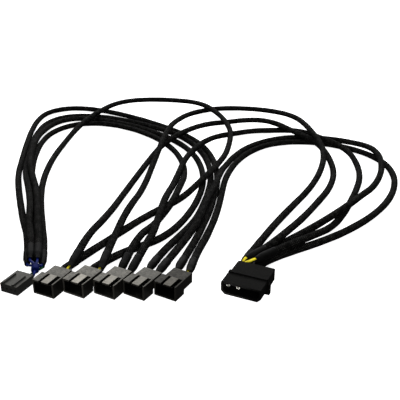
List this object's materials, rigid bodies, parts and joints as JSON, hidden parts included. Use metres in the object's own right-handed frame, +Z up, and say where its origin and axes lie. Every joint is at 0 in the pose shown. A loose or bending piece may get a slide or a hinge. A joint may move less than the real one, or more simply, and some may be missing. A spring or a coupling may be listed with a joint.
{
  "type": "fan splitter cable",
  "caption": "Sleeved splitter cable: a fan header plug and a peripheral power plug feed a row of keyed fan sockets through loosely looped cables.",
  "frame": {"origin": "on the floor, under the middle of the third fan socket's shroud", "axes": "+X to the right along the row of connectors, +Y away from the viewer towards the loops, +Z up"},
  "size_m": [0.272, 0.3245, 0.0144],
  "materials": {
    "braided_sleeve": "fine braid",
    "shrink_tube": "satin",
    "socket_plastic": "fine grain",
    "header_plastic": "fine grain",
    "power_plug_plastic": "satin",
    "tinned_contact": "bright tin",
    "supply_insulation": "smooth",
    "ground_insulation": "smooth",
    "pwm_insulation": "smooth",
    "tach_insulation": "smooth"
  },
  "bodies": {
    "root": {"fan_socket_1_housing": "socket_plastic", "fan_socket_1_pins": "tinned_contact", "fan_socket_2_housing": "socket_plastic", "fan_socket_2_pins": "tinned_contact", "fan_socket_3_housing": "socket_plastic", "fan_socket_3_pins": "tinned_contact", "fan_socket_4_housing": "socket_plastic", "fan_socket_4_pins": "tinned_contact", "fan_socket_5_housing": "socket_plastic", "fan_socket_5_pins": "tinned_contact", "header_plug_contacts": "tinned_contact", "header_plug_housing": "header_plastic", "power_cable_1": "braided_sleeve", "power_cable_1_ground_wire": "ground_insulation", "power_cable_1_shrinks": "shrink_tube", "power_cable_1_supply_wire": "supply_insulation", "power_cable_2": "braided_sleeve", "power_cable_2_ground_wire": "ground_insulation", "power_cable_2_shrinks": "shrink_tube", "power_cable_2_supply_wire": "supply_insulation", "power_cable_3": "braided_sleeve", "power_cable_3_ground_wire": "ground_insulation", "power_cable_3_shrinks": "shrink_tube", "power_cable_3_supply_wire": "supply_insulation", "power_cable_4": "braided_sleeve", "power_cable_4_ground_wire": "ground_insulation", "power_cable_4_shrinks": "shrink_tube", "power_cable_4_supply_wire": "supply_insulation", "power_cable_5": "braided_sleeve", "power_cable_5_ground_wire": "ground_insulation", "power_cable_5_shrinks": "shrink_tube", "power_cable_5_supply_wire": "supply_insulation", "power_plug_housing": "power_plug_plastic", "power_plug_pins": "tinned_contact", "pwm_lead_wire": "pwm_insulation", "pwm_splice_sleeve": "shrink_tube", "signal_cable_1": "braided_sleeve", "signal_cable_1_pwm_wire": "pwm_insulation", "signal_cable_1_shrinks": "shrink_tube", "signal_cable_1_tach_wire": "tach_insulation", "signal_cable_2": "braided_sleeve", "signal_cable_2_pwm_wire": "pwm_insulation", "signal_cable_2_shrinks": "shrink_tube", "signal_cable_3": "braided_sleeve", "signal_cable_3_pwm_wire": "pwm_insulation", "signal_cable_3_shrinks": "shrink_tube", "signal_cable_4": "braided_sleeve", "signal_cable_4_pwm_wire": "pwm_insulation", "signal_cable_4_shrinks": "shrink_tube", "signal_cable_5": "braided_sleeve", "signal_cable_5_pwm_wire": "pwm_insulation", "signal_cable_5_shrinks": "shrink_tube"}
  },
  "joints": []
}
